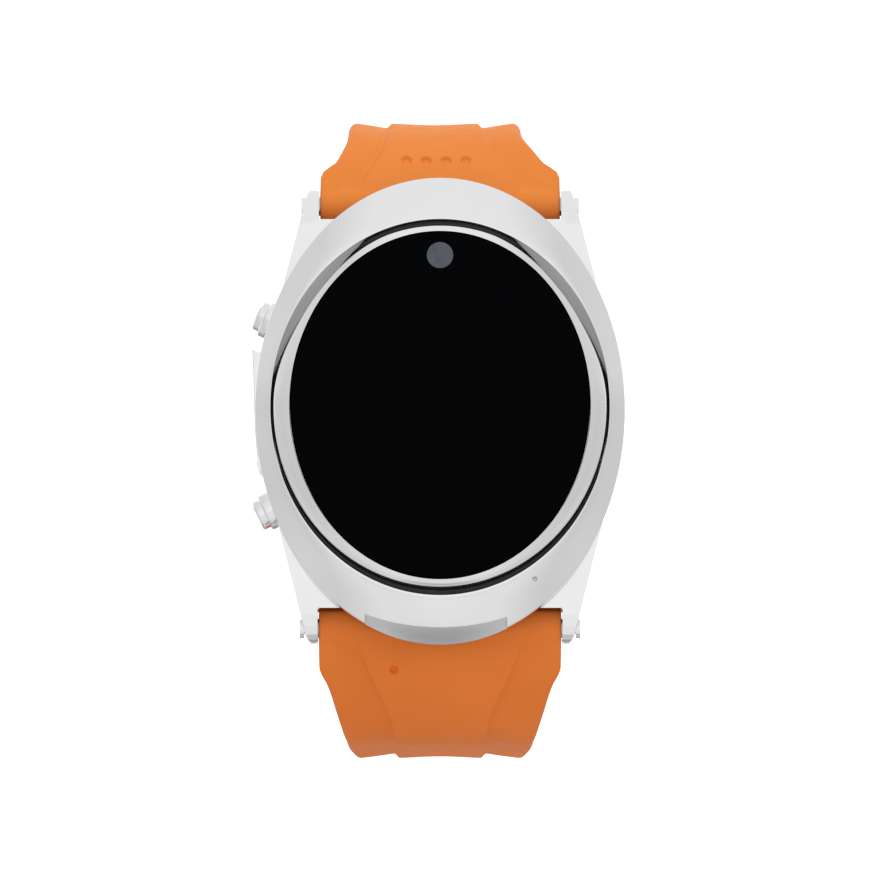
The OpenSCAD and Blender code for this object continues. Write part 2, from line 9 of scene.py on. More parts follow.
import bmesh
import bpy
import numpy as np
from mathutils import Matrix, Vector


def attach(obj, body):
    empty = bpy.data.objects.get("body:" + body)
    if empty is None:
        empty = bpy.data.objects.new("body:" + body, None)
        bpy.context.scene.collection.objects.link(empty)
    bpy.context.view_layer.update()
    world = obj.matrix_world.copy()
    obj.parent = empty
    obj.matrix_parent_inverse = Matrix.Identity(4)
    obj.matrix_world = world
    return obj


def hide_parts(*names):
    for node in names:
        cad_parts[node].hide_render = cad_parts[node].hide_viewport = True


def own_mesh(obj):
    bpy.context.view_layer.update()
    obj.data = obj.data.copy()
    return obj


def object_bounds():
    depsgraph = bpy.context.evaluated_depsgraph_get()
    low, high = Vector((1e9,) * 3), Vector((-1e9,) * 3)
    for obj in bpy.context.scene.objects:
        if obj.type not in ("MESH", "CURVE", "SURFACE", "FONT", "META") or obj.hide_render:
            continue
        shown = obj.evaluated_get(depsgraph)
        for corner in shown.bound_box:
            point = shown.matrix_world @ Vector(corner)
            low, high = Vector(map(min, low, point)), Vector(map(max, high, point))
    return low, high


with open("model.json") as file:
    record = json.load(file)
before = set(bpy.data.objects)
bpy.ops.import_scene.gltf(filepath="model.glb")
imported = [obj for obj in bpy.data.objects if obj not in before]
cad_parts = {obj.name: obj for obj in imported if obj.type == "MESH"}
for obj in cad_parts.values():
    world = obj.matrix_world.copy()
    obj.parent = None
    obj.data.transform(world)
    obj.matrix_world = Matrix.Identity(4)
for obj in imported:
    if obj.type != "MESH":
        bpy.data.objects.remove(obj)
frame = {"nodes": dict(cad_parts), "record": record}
CAD_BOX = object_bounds()
NODES = frame["nodes"]
MM = 0.001
TAU = 2 * math.pi


# ---------- small helpers ----------

def mix(a, b, t):
    return a + (b - a) * t


def smooth(edge0, edge1, x):
    """0 below edge0, 1 above edge1 and an S curve between them."""
    t = np.clip((np.asarray(x, float) - edge0) / (edge1 - edge0), 0, 1)
    return t * t * (3 - 2 * t)


def link(obj):
    bpy.context.scene.collection.objects.link(obj)
    return obj


# ---------- meshes ----------

def closed_mesh(name, verts, faces):
    """A mesh from points in millimetres, with its faces turned outwards."""
    mesh = bpy.data.meshes.new(name)
    mesh.from_pydata([tuple(v) for v in np.asarray(verts, float) * MM], [], faces)
    mesh.update()
    bm = bmesh.new()
    bm.from_mesh(mesh)
    bmesh.ops.recalc_face_normals(bm, faces=bm.faces)
    bm.to_mesh(mesh)
    bm.free()
    return mesh


def sharpen(obj, degrees):
    """Shades smoothly except across edges that turn more than this."""
    obj.data.set_sharp_from_angle(angle=math.radians(degrees))


def piece(name, shape, body, slot, replaces=(), sharp=30, look=None):
    """Builds a shape as a smooth-shaded object and lets it ride on a body."""
    mesh = closed_mesh(name, *shape)
    mesh.shade_smooth()
    obj = link(bpy.data.objects.new(name, mesh))
    sharpen(obj, sharp)
    obj.data.materials.append(look or LOOKS[slot])
    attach(obj, body)
    if replaces:
        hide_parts(*replaces)
    return obj


def combine(obj, shape, operation):
    """Applies a boolean of a closed shape to obj."""
    mesh = closed_mesh("tool", *shape)
    tool = link(bpy.data.objects.new("tool", mesh))
    modifier = obj.modifiers.new("boolean", "BOOLEAN")
    modifier.operation = operation
    modifier.solver = "EXACT"
    modifier.object = tool
    bpy.context.view_layer.update()
    result = bpy.data.meshes.new_from_object(obj.evaluated_get(bpy.context.evaluated_depsgraph_get()))
    obj.modifiers.clear()
    old = obj.data
    obj.data = result
    bpy.data.meshes.remove(old)
    bpy.data.objects.remove(tool)
    bpy.data.meshes.remove(mesh)


def cut(obj, shape):
    combine(obj, shape, "DIFFERENCE")


def join(obj, shape):
    combine(obj, shape, "UNION")


def grid_faces(rows, columns, wrap_rows=False, wrap_columns=True):
    """Quads of a grid of points, row by row."""
    faces = []
    for j in range(rows if wrap_rows else rows - 1):
        k = (j + 1) % rows
        for i in range(columns if wrap_columns else columns - 1):
            h = (i + 1) % columns
            faces.append((j * columns + i, j * columns + h, k * columns + h, k * columns + i))
    return faces


def tube_faces(rows, sides):
    """Faces of a stack of rings, capped at both ends."""
    last = (rows - 1) * sides
    return grid_faces(rows, sides) + [tuple(range(sides))[::-1], tuple(range(last, last + sides))]


def strip_faces(rows, columns):
    """Faces of an open bar whose section has this many rows, capped at both ends."""
    faces = grid_faces(rows, columns, wrap_rows=True, wrap_columns=False)
    return faces + [tuple(columns * k for k in range(rows)),
                    tuple(columns * k + columns - 1 for k in range(rows))]


def oval_points(profile, sides, centre=(0, 0)):
    """Ovals about a vertical axis, one for each (half x, half y, z) of the profile."""
    angles = np.linspace(0, TAU, sides, endpoint=False)
    return np.concatenate([np.stack([centre[0] + a * np.cos(angles), centre[1] + b * np.sin(angles),
                                     np.full(sides, z)], 1) for a, b, z in profile])


def oval_ring(profile, sides=256):
    return oval_points(profile, sides), grid_faces(len(profile), sides, wrap_rows=True)


def oval_disc(profile, sides=256):
    return oval_points(profile, sides), tube_faces(len(profile), sides)


def round_disc(centre, profile, sides=64):
    """A closed round solid about a vertical axis, from rows of (radius, z)."""
    return (oval_points([(r, r, z) for r, z in profile], sides, centre),
            tube_faces(len(profile), sides))


def rod(start, end, radius, sides=32, radius_end=None):
    """A closed rod or cone between two points."""
    start, end = Vector(start), Vector(end)
    axis = (end - start).normalized()
    side = axis.orthogonal().normalized()
    other = axis.cross(side)
    verts = []
    for point, r in ((start, radius), (end, radius_end or radius)):
        for i in range(sides):
            a = TAU * i / sides
            verts.append(tuple(point + r * (math.cos(a) * side + math.sin(a) * other)))
    return verts, tube_faces(2, sides)


# ---------- materials ----------

def material(name, color, metallic=0.0, roughness=0.4):
    mat = bpy.data.materials.new(name)
    mat.use_nodes = True
    shader = mat.node_tree.nodes["Principled BSDF"]
    shader.inputs["Base Color"].default_value = (*color, 1)
    shader.inputs["Metallic"].default_value = metallic
    shader.inputs["Roughness"].default_value = roughness
    return mat, mat.node_tree, shader


def noise(tree, scale, detail=4.0, rough=0.5, stretch=None):
    """A noise texture on the object's own coordinates, in metres."""
    nodes, links = tree.nodes, tree.links
    coords = nodes.new("ShaderNodeTexCoord")
    texture = nodes.new("ShaderNodeTexNoise")
    texture.inputs["Scale"].default_value = scale
    texture.inputs["Detail"].default_value = detail
    texture.inputs["Roughness"].default_value = rough
    source = coords.outputs["Object"]
    if stretch:
        mapping = nodes.new("ShaderNodeMapping")
        mapping.inputs["Scale"].default_value = stretch
        links.new(source, mapping.inputs["Vector"])
        source = mapping.outputs["Vector"]
    links.new(source, texture.inputs["Vector"])
    return texture.outputs["Fac"]


def ramp(tree, source, stops):
    """Colours along a source, from (position, colour) stops."""
    node = tree.nodes.new("ShaderNodeValToRGB")
    elements = node.color_ramp.elements
    while len(elements) < len(stops):
        elements.new(0.5)
    for element, (position, color) in zip(elements, stops):
        element.position = position
        element.color = (*color, 1)
    tree.links.new(source, node.inputs["Fac"])
    return node.outputs["Color"]


def mottle(tree, shader, source, low, high):
    """A soft variation of the base colour between two colours."""
    tree.links.new(ramp(tree, source, [(0.3, low), (0.7, high)]), shader.inputs["Base Color"])


def vary(tree, shader, socket, source, low, high):
    """Drives a shader value by a texture, between low and high."""
    node = tree.nodes.new("ShaderNodeMapRange")
    node.inputs["From Min"].default_value = 0.3
    node.inputs["From Max"].default_value = 0.7
    node.inputs["To Min"].default_value = low
    node.inputs["To Max"].default_value = high
    tree.links.new(source, node.inputs["Value"])
    tree.links.new(node.outputs["Result"], shader.inputs[socket])


def bump(tree, shader, source, strength, distance):
    """Adds relief on top of any relief that the shader already has."""
    node = tree.nodes.new("ShaderNodeBump")
    node.inputs["Strength"].default_value = strength
    node.inputs["Distance"].default_value = distance
    tree.links.new(source, node.inputs["Height"])
    previous = shader.inputs["Normal"].links
    if previous:
        tree.links.new(previous[0].from_socket, node.inputs["Normal"])
    tree.links.new(node.outputs["Normal"], shader.inputs["Normal"])


def metal(name, color, roughness, spread=0.03, scratch=0.0, grain=None):
    mat, tree, shader = material(name, color, 1.0, roughness)
    mottle(tree, shader, noise(tree, 90, 3), tuple(0.95 * c for c in color), color)
    vary(tree, shader, "Roughness", noise(tree, 260, 5, 0.6), roughness - spread, roughness + spread)
    if grain:
        bump(tree, shader, noise(tree, 900, 3, 0.6, grain), 0.25, 0.00002)
    if scratch:
        bump(tree, shader, noise(tree, 420, 6, 0.7), scratch, 0.00001)
    return mat


def plastic(name, color, roughness, grain=1500, strength=0.15):
    mat, tree, shader = material(name, color, 0.0, roughness)
    mottle(tree, shader, noise(tree, 160, 4), color, tuple(min(1, 1.12 * c + 0.002) for c in color))
    vary(tree, shader, "Roughness", noise(tree, 500, 3), roughness - 0.05, roughness + 0.05)
    bump(tree, shader, noise(tree, grain, 4, 0.6), strength, 0.00003)
    return mat


def black_glass():
    """Coated so that it hardly reflects."""
    mat, tree, shader = material("black_glass_look", (0.0012, 0.0012, 0.0014), 0.0, 0.03)
    shader.inputs["IOR"].default_value = 1.05
    vary(tree, shader, "Roughness", noise(tree, 120, 2), 0.02, 0.045)
    return mat


def camera_glass():
    mat, tree, shader = material("camera_glass_look", (0.1, 0.1, 0.115), 0.0, 0.12)
    shader.inputs["IOR"].default_value = 1.3
    mottle(tree, shader, noise(tree, 800, 3), (0.068, 0.068, 0.078), (0.09, 0.09, 0.1))
    return mat


def orange_silicone():
    """Soft and matt, with a fine skin over a coarser one."""
    mat, tree, shader = material("orange_silicone_look", (0.8, 0.23, 0.045), 0.0, 0.5)
    mottle(tree, shader, noise(tree, 55, 5, 0.55), (0.77, 0.195, 0.034), (0.83, 0.215, 0.04))
    vary(tree, shader, "Roughness", noise(tree, 700, 4), 0.44, 0.58)
    bump(tree, shader, noise(tree, 6000, 3, 0.6), 0.12, 0.00003)
    bump(tree, shader, noise(tree, 900, 4, 0.5), 0.1, 0.00004)
    shader.inputs["IOR"].default_value = 1.4
    shader.inputs["Specular IOR Level"].default_value = 0.1
    shader.inputs["Subsurface Weight"].default_value = 0.05
    shader.inputs["Subsurface Scale"].default_value = 0.002
    return mat


GRAIN = (1, 14, 1)
brushed_steel = metal("brushed_steel_look", (0.6, 0.605, 0.61), 0.24, 0.05, 0.0, GRAIN)
# Painted shade: a darkened copy of the polished steel, for the dim grey reflection in the bands beside
# the ring
painted_shade_steel = metal("painted_shade_steel_look", (0.36, 0.36, 0.355), 0.12, 0.03, 0.03)
LOOKS = {
    "polished_steel": metal("polished_steel_look", (0.80, 0.80, 0.81), 0.07, 0.025, 0.03),
    "satin_steel": metal("satin_steel_look", (0.62, 0.63, 0.64), 0.26, 0.05, 0.0, GRAIN),
    "tinned_steel": metal("tinned_steel_look", (0.5, 0.51, 0.52), 0.34, 0.06),
    "battery_foil": metal("battery_foil_look", (0.55, 0.6, 0.66), 0.38, 0.06, 0.3),
    "black_seal": plastic("seal_rubber_look", (0.012, 0.012, 0.013), 0.55),
    "dark_plastic": plastic("dark_plastic_look", (0.03, 0.03, 0.033), 0.5),
    "circuit_board": plastic("circuit_board_look", (0.012, 0.11, 0.05), 0.4, 900),
    "ceramic_antenna": plastic("ceramic_look", (0.7, 0.66, 0.57), 0.45),
    "copper_flex": plastic("flex_look", (0.42, 0.17, 0.03), 0.35),
    "display": plastic("display_look", (0.006, 0.006, 0.008), 0.12, 1500, 0.02),
    "black_glass": black_glass(),
    "camera_glass": camera_glass(),
    "orange_silicone": orange_silicone(),
}


# ---------- CAD nodes ----------

# Widths of the small bevels that catch the light on CAD edges
BEVELS = {
    "mid_case": 0.25, "case_back": 0.2, "port_door": 0.15, "lug_screws": 0.06,
    "upper_collar": 0.06, "lower_collar": 0.06, "upper_pusher": 0.06, "lower_pusher": 0.06,
    "buckle_frame": 0.35, "buckle_tongue": 0.3, "battery": 0.3, "case_back_screws": 0.05,
}


def dress_cad_node(name, slot):
    """Gives a CAD node its material, and bevels where its edges show."""
    node = NODES[name]
    node.data.materials.clear()
    node.data.materials.append(LOOKS[slot])
    weld = node.modifiers.new("weld", "WELD")
    weld.merge_threshold = 0.000002
    if name in BEVELS:
        bevel = node.modifiers.new("bevel", "BEVEL")
        bevel.width = BEVELS[name] * MM
        bevel.segments = 3
        bevel.limit_method = "ANGLE"
        bevel.angle_limit = math.radians(35)
        bevel.harden_normals = False
        bevel.use_clamp_overlap = True


for part in frame["record"]["subparts"]:
    dress_cad_node(part["node"], part["material_slot"])


# ---------- bezel ----------

# Heights of the dome's crest, of the widest line and of the seam with the case
CREST_Z, WIDEST_Z, SEAM_Z = 13.4, 8.9, 7.6
# Half axes of the bezel's hole and of its outer edge
HOLE = (21.0, 23.5)
OUTER = (23.0, 29.3)
# Height of the outer edge at 3 and 9 o'clock, and at 12 and 6 o'clock
EDGE_Z = (11.9, 10.6)
DOME_POWER = 1.35
# How far the wall draws in towards the seam, and the rounding of its upper edge
WALL_LEAN = 0.46
EDGE_ROUND, EDGE_RISE, EDGE_DROP = 0.22, 0.26, 0.3


def dome_z(share, angle):
    """Height of the bezel's face, from its hole (share 0) to its outer edge (share 1)."""
    edge = mix(EDGE_Z[0], EDGE_Z[1], np.sin(angle) ** 2)
    return CREST_Z - (CREST_Z - edge) * share ** DOME_POWER


def bezel_shape(sides=480, steps=40):
    """Rows from the bottom outside, up the wall, over the face and down inside the hole."""
    angle = np.linspace(0, TAU, sides, endpoint=False)
    rows = []

    def row(base, offset, z):
        rows.append(np.stack([(base[0] + offset) * np.cos(angle), (base[1] + offset) * np.sin(angle),
                              np.broadcast_to(z, angle.shape)], 1))

    row(HOLE, 0.02, SEAM_Z)
    row(OUTER, -0.6, SEAM_Z)
    row(OUTER, -WALL_LEAN, SEAM_Z + 0.06)
    for t in (0.25, 0.5, 0.75, 1.0):
        row(OUTER, -WALL_LEAN * (1 - t) ** 2, mix(SEAM_Z + 0.06, WIDEST_Z, t))
    edge = dome_z(1.0, angle) - EDGE_DROP
    for turn in np.radians([0, 20, 45, 70]):
        row(OUTER, -EDGE_ROUND * (1 - math.cos(turn)), edge + EDGE_RISE * math.sin(turn))
    for i in range(steps, -1, -1):
        share = 0.965 * i / steps
        middle = (mix(HOLE[0] + 0.1, OUTER[0], share), mix(HOLE[1] + 0.1, OUTER[1], share))
        row(middle, 0, dome_z(share, angle))
    row(HOLE, 0.03, CREST_Z - 0.03)
    row(HOLE, 0, CREST_Z - 0.11)
    return np.concatenate(rows), grid_faces(len(rows), sides, wrap_rows=True)


# The grip notch at 6 o'clock: its ends along X, and the oval that its sloping face follows
NOTCH = (-9.3, 8.3)
NOTCH_HALF_X, NOTCH_HALF_Y, NOTCH_Z, NOTCH_SLOPE = 25.3, 27.45, 11.7, 0.78
MICROPHONE = (11.7, -21.5)


def notch_y(x, z):
    """Where the notch's face is. It leans out towards its bottom edge."""
    return -(NOTCH_HALF_Y + (NOTCH_Z - z) * NOTCH_SLOPE) * np.sqrt(1 - (x / NOTCH_HALF_X) ** 2)


def notch_cutter(columns=160, low=6.8, high=14.6, outside=-32.0):
    """Everything outside the notch's face."""
    x = np.linspace(NOTCH[0], NOTCH[1], columns)
    rows = [np.stack([x, notch_y(x, z), np.full(columns, z)], 1) for z in (low, high)]
    rows += [np.stack([x, np.full(columns, outside), np.full(columns, z)], 1) for z in (high, low)]
    return np.concatenate(rows), strip_faces(4, columns)


def brush_notch(bezel):
    """The notch's face is brushed, where the rest of the bezel is polished."""
    bezel.data.materials.append(brushed_steel)
    for face in bezel.data.polygons:
        x, y, z = face.center / MM
        if NOTCH[0] < x < NOTCH[1] and y < 0:
            if abs(y - notch_y(x, z)) < 0.04 and 0.3 < face.normal.z < 0.72:
                face.material_index = 1


def build_bezel():
    bezel = piece("domed_bezel", bezel_shape(), "case", "polished_steel", ["bezel"], 40)
    cut(bezel, notch_cutter())
    cut(bezel, rod((*MICROPHONE, 9.5), (*MICROPHONE, 15), 0.3, 24))
    mesh = rod((*MICROPHONE, 11.6), (*MICROPHONE, 12.55), 0.31, 24, 0.27)
    piece("microphone_mesh", mesh, "case", "tinned_steel")
    sharpen(bezel, 32)
    brush_notch(bezel)


build_bezel()


# ---------- glass and the ring that holds it ----------

# Half axes of the glass and of the ring outside and inside
GLASS = (18.55, 21.65)
RING = (20.7, 22.7)
RING_INSIDE = (17.6, 20.4)
# Heights of the ring's top and of the step that the glass sits on
TOP_Z, GLASS_Z = 15.0, 13.2
# How far the ring draws in at the upper diagonals
SLIM = 0.72


def diagonal(angle):
    """1 at about 2 and 10 o'clock, falling to 0 towards 12 o'clock and the sides."""
    side = np.abs((np.degrees(angle) % 360) - 90)
    return (1 - smooth(58, 88, side)) * smooth(16, 50, side)


def ring_shape(sides=360, steps=24, drop=1.6, lip_drop=0.6):
    """A rounded shoulder that rises to the glass, slimmer at the upper diagonals."""
    angle = np.linspace(0, TAU, sides, endpoint=False)
    slim = SLIM * diagonal(angle)
    lip = (GLASS[0] + 0.05, GLASS[1] + 0.05)
    rows = []

    def row(half, z, share=0.0):
        rows.append(np.stack([(half[0] - slim * share) * np.cos(angle),
                              (half[1] - slim * share) * np.sin(angle), np.full(sides, z)], 1))

    row(RING_INSIDE, SEAM_Z)
    row(RING, SEAM_Z, 1.0)
    row(RING, TOP_Z - drop, 1.0)
    for i in range(1, steps + 1):
        reach = math.cos(math.radians(90 * i / steps)) ** 0.6
        fall = lip_drop * reach + (drop - lip_drop) * (1 - math.sqrt(1 - reach ** 5))
        row((mix(lip[0] + 0.04, RING[0], reach), mix(lip[1] + 0.04, RING[1], reach)),
            TOP_Z - fall, reach)
    row(lip, TOP_Z - 0.05)
    row(lip, GLASS_Z - 0.29)
    row(RING_INSIDE, GLASS_Z - 0.3)
    return np.concatenate(rows), grid_faces(len(rows), sides, wrap_rows=True)


def band_shape(middle, half=35.0, sides=90):
    """A polished band between the ring and the bezel, pointed at both ends.
    Its darkened steel is painted shade that stands for a dim grey reflection.
    """
    angle = np.radians(np.linspace(middle - half, middle + half, sides))
    side = np.abs(np.degrees(angle) - 90)
    width = (1 - smooth(56, 90, side)) * smooth(20, 46, side) + 0.02
    outer = (HOLE[0] + 0.04, HOLE[1] + 0.04)
    inner = (RING[0] + 0.04 - SLIM, RING[1] + 0.06 - SLIM)
    rows = [np.stack([mix(outer[0], inner[0], share * width) * np.cos(angle),
                      mix(outer[1], inner[1], share * width) * np.sin(angle), np.full(sides, z)], 1)
            for share, z in ((1.0, 12.3), (1.0, 12.95), (0.5, 13.15), (0.0, 13.28), (0.0, 12.3))]
    return np.concatenate(rows), strip_faces(5, sides)


def gasket_shape():
    """Fills the gap between the ring and the bezel, with a crowned top."""
    return oval_ring([(20.72, 22.72, 9.2), (20.94, 23.48, 9.2), (20.94, 23.48, 12.5),
                      (20.9, 23.35, 12.62), (20.83, 23.1, 12.66), (20.76, 22.85, 12.62),
                      (20.72, 22.72, 12.5)])


def glass_shape():
    """A flat oval with a softened upper edge. Rows are (inset, z)."""
    rows = ((0, GLASS_Z - 0.25), (0, TOP_Z - 0.28), (0.06, TOP_Z - 0.14), (0.2, TOP_Z - 0.05))
    return oval_disc([(GLASS[0] - inset, GLASS[1] - inset, z) for inset, z in rows])


# The camera is on the centre line, under the glass's upper end
CAMERA = (0, 18.7)
# Rows of (radius, depth under the top) from the window's foot to the middle of its lens
LENS = [(1.64, 0.39), (1.64, 0.07), (1.58, 0.05), (0.62, 0.05), (0.58, 0.09), (0.5, 0.1),
        (0.2, 0.085), (0.05, 0.08)]

piece("glass_ring", ring_shape(), "case", "polished_steel", ["inner_ring"], 40)
# Two bands of darkened steel between the ring and the bezel: painted shade for a dim grey reflection
for name, middle in (("painted_shade_band_right", 35), ("painted_shade_band_left", 145)):
    piece(name, band_shape(middle), "case", "satin_steel", sharp=25, look=painted_shade_steel)
piece("ring_gasket", gasket_shape(), "case", "black_seal", ["bezel_gasket"], 50)
cover = piece("cover_glass", glass_shape(), "case", "black_glass", ["glass"], 20)
cut(cover, rod((*CAMERA, TOP_Z - 0.4), (*CAMERA, TOP_Z + 1), 1.65, 64))
sharpen(cover, 20)
piece("camera_lens", round_disc(CAMERA, [(r, TOP_Z - depth) for r, depth in LENS]),
      "case", "camera_glass", ["camera_window"], 35)


# ---------- pusher springs ----------

# A pusher's place on the case and its turn out of the X direction
PUSHER_AT, PUSHER_TURN = (22.05, 12.38, 4.9), math.radians(26.5)
# The spring's seat is this far inside that place. Then wire and coil radius, turns and length
SEAT = 2.6
WIRE, COIL, TURNS, RISE = 0.11, 1.25, 2.5, 1.38


def pusher_axis(side):
    """The pusher's place and its outward direction. side is 1 above 9 o'clock, -1 below."""
    return (Vector((-PUSHER_AT[0], side * PUSHER_AT[1], PUSHER_AT[2])),
            Vector((-math.cos(PUSHER_TURN), side * math.sin(PUSHER_TURN), 0)))


def coil_shape(side, steps=44, round_steps=10):
    """A coil spring between the collar's seat and the pusher's head."""
    place, out = pusher_axis(side)
    up = Vector((0, 0, 1))
    across = out.cross(up)
    start = place - (SEAT - WIRE - 0.05) * out
    verts = []
    rings = int(TURNS * steps) + 1
    for i in range(rings):
        a = TAU * i / steps
        radial = math.cos(a) * up + math.sin(a) * across
        for k in range(round_steps):
            b = TAU * k / round_steps
            verts.append(start + (COIL + WIRE * math.cos(b)) * radial
                         + (RISE * i / (rings - 1) + WIRE * math.sin(b)) * out)
    return verts, tube_faces(rings, round_steps)


for which, side in (("upper", 1), ("lower", -1)):
    coil = piece(which + "_coil", coil_shape(side), "case", "satin_steel", [which + "_spring"], 60)
    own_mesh(coil)


# ---------- strap routes ----------

# Where the lug bars are (distance from the middle, height) and the strap's first direction
BAR = (26.8, 4.0)
START = math.radians(-14)


def arc(degrees, radius):
    return math.radians(degrees) * radius


# Stretches of (length, radius). Radius 0 is straight
SHORT = [(arc(76, 15.8), 15.8), (9.67, 0.0), (arc(84, 21.5), 21.5)]
LONG = [(arc(76, 15.8), 15.8), (23.17, 0.0), (arc(90, 24), 24.0), (37.5, 0.0)]
SHORT_LEN = sum(length for length, _ in SHORT)
LONG_LEN = sum(length for length, _ in LONG)


def walk(route, s):
    """Place and direction along a route in the YZ plane."""
    y, z = BAR
    d = START
    for index, (length, radius) in enumerate(route):
        u = s if index == len(route) - 1 else min(s, length)
        if radius:
            turn = u / radius
            y += radius * (math.sin(d) - math.sin(d - turn))
            z += radius * (math.cos(d - turn) - math.cos(d))
            d -= turn
        else:
            y += u * math.cos(d)
            z += u * math.sin(d)
        if s <= length:
            break
        s -= length
    return y, z, d


def placed(route, s, points):
    """Points (x, along, out) at a place on a route, in the row frame."""
    y, z, d = walk(route, s)
    return [(x, y + a * math.cos(d) - o * math.sin(d), z + a * math.sin(d) + o * math.cos(d))
            for x, a, o in points]


def curve(points):
    """A smooth monotone curve through (x, value) points."""
    xs, ys = np.array(points, float).T
    slopes = np.diff(ys) / np.diff(xs)
    tangents = np.concatenate([[slopes[0]], (slopes[:-1] + slopes[1:]) / 2, [slopes[-1]]])
    for i, slope in enumerate(slopes):
        if slope == 0:
            tangents[i] = tangents[i + 1] = 0
        else:
            for k in (i, i + 1):
                tangents[k] = max(min(tangents[k] / slope, 3), 0) * slope

    def value(x):
        x = min(max(x, xs[0]), xs[-1])
        i = min(int(np.searchsorted(xs, x, side="right")) - 1, len(slopes) - 1)
        h = xs[i + 1] - xs[i]
        t = (x - xs[i]) / h
        return ((2 * t**3 - 3 * t**2 + 1) * ys[i] + (t**3 - 2 * t**2 + t) * h * tangents[i]
                + (3 * t**2 - 2 * t**3) * ys[i + 1] + (t**3 - t**2) * h * tangents[i + 1])
    return value


# ---------- strap section ----------

# Half width, half thickness and half width of the raised middle panel, along each half
SHORT_HALF = curve([(0, 15.12), (3.2, 15.1), (4.0, 14.5), (5.0, 13.4), (6.2, 12.8), (8, 12.15),
                    (10, 11.5), (12, 11.2), (16, 11.1), (22, 11.05), (33, 11.0), (200, 11.0)])
LONG_HALF = curve([(0, 15.12), (4.2, 15.1), (7, 14.1), (11, 13.2), (15.5, 12.5), (21, 12.1),
                   (34, 12.0), (60, 11.0), (200, 11.0)])
SHORT_THICK = curve([(0, 2.5), (4, 2.3), (10, 1.8), (15, 1.5), (24, 1.5), (32, 1.7), (200, 1.7)])
LONG_THICK = curve([(0, 2.5), (4, 2.35), (10, 1.95), (20, 1.7), (60, 1.7), (80, 1.5), (200, 1.5)])
SHORT_PANEL = curve([(0, 10.4), (3, 9.2), (5.4, 7.8), (8, 6.7), (10, 6.1), (12, 5.8), (16, 5.65),
                     (200, 5.4)])
LONG_PANEL = curve([(0, 10.5), (3, 9.5), (6, 8.3), (9, 7.1), (12, 6.2), (16, 5.8), (21, 5.6),
                    (200, 5.4)])
# Points across the outer face and across the inner one
ACROSS, UNDER = 190, 40


def sway(s):
    """The short half leans a little to the left as it bends over."""
    return -0.7 * float(smooth(3, 14, s) - smooth(20, 34, s))


def strap_section(half, thickness, middle, relief, corner):
    """Points (x, height) round the section: outer face, right side, inner face, left side."""
    c = min(corner, half * 0.4)
    xs = np.linspace(-(half - c), half - c, ACROSS)
    ax = np.abs(xs)
    # A slightly hollow panel, a step down beside it, and a slope back up to the edge
    groove = min(middle + 0.9, half - c - 0.3)
    slope = -0.62 + 0.55 * np.clip((ax - groove) / max(half - c - groove, 0.2), 0, 1) ** 0.85
    plateau = -0.06 - 0.2 * np.cos(np.clip(ax / max(middle, 0.1), 0, 1) * math.pi / 2) ** 1.5
    step = smooth(middle - 0.15, middle + 0.55, ax)
    top = thickness + relief * (plateau * (1 - step) + slope * step)
    rim = [(half - c + c * math.sin(a), thickness - c + c * math.cos(a))
           for a in np.radians([18, 36, 54, 72, 90])]
    low = min(0.8, c)
    foot = [(half - low + low * math.cos(a), -thickness + low - low * math.sin(a))
            for a in np.radians([0, 18, 36, 54, 72, 90])]
    right = rim + foot
    under = np.linspace(half - low, -(half - low), UNDER)[1:-1]
    points = list(zip(xs, top)) + right + [(x, -thickness) for x in under]
    return np.array(points + [(-x, h) for x, h in reversed(right)])


def dimple_depth(section, s, dimples):
    """How far the outer face is pressed in at each point of a section."""
    depth = np.zeros(ACROSS)
    for dx, ds, radius, deep in dimples:
        away = np.hypot(section[:ACROSS, 0] - dx, s - ds)
        bowl = deep * (1 - smooth(radius * 0.55, radius, away))
        lip = -0.05 * np.exp(-((away - radius * 1.15) / 0.16) ** 2)
        depth += bowl + lip
    return depth


def strap_shape(route, stations, half, thick, panel, mirror, dimples, tip=0.0):
    """A strap half: its section at every station, rounded off over the last stretch if it has a tip."""
    tip_at = sum(length for length, _ in route) - tip
    rings = []
    for s in stations:
        width = half(s)
        if tip and s > tip_at:
            width *= max(math.sqrt(max(1 - ((s - tip_at) / tip) ** 2, 0)), 0.02)
        relief = float(1 - smooth(60, 76, s))
        corner = 0.45 + 0.75 * float(smooth(2.5, 9, s))
        section = strap_section(width, thick(s), panel(s) * width / half(s), relief, corner)
        section[:ACROSS, 1] -= dimple_depth(section, s, dimples)
        y, z, d = walk(route, s)
        x, height = section.T
        rings.append(np.stack([x + (0 if mirror else sway(s)), y - height * math.sin(d),
                               z + height * math.cos(d)], 1))
    verts = np.concatenate(rings)
    if mirror:
        verts = verts * np.array([1, -1, 1])
    return verts, tube_faces(len(rings), len(rings[0]))


def stations_for(length, fine, coarse_step=0.8, fine_step=0.1):
    """Places along a strap half, closer together inside the fine stretch."""
    out = [0.45]
    while out[-1] < length:
        s = out[-1]
        out.append(s + (fine_step if fine[0] <= s <= fine[1] else coarse_step))
    out[-1] = length
    return out


# ---------- strap halves ----------

# Radius, bore radius and half length of the barrels round the lug bars and the buckle's pin
BAR_BARREL, BAR_BORE, BAR_HALF = 2.5, 1.25, 15.12
PIN_BARREL, PIN_BORE, PIN_HALF = 1.9, 0.8, 11.0
# Holes of the long half, and the length of its round tip
HOLES, HOLE_PITCH, HOLE_FROM_TIP, HOLE_RADIUS = 9, 7, 14, 1.3
TIP = 12.0
# Dimples are (x, distance along, radius, depth)
SHORT_DIMPLES = [((i - 1.5) * 2.5 - 0.4, 5.45, 0.75, 0.4) for i in range(4)]
LONG_DIMPLES = [(-5.75, 4.5, 0.6, 0.5)]


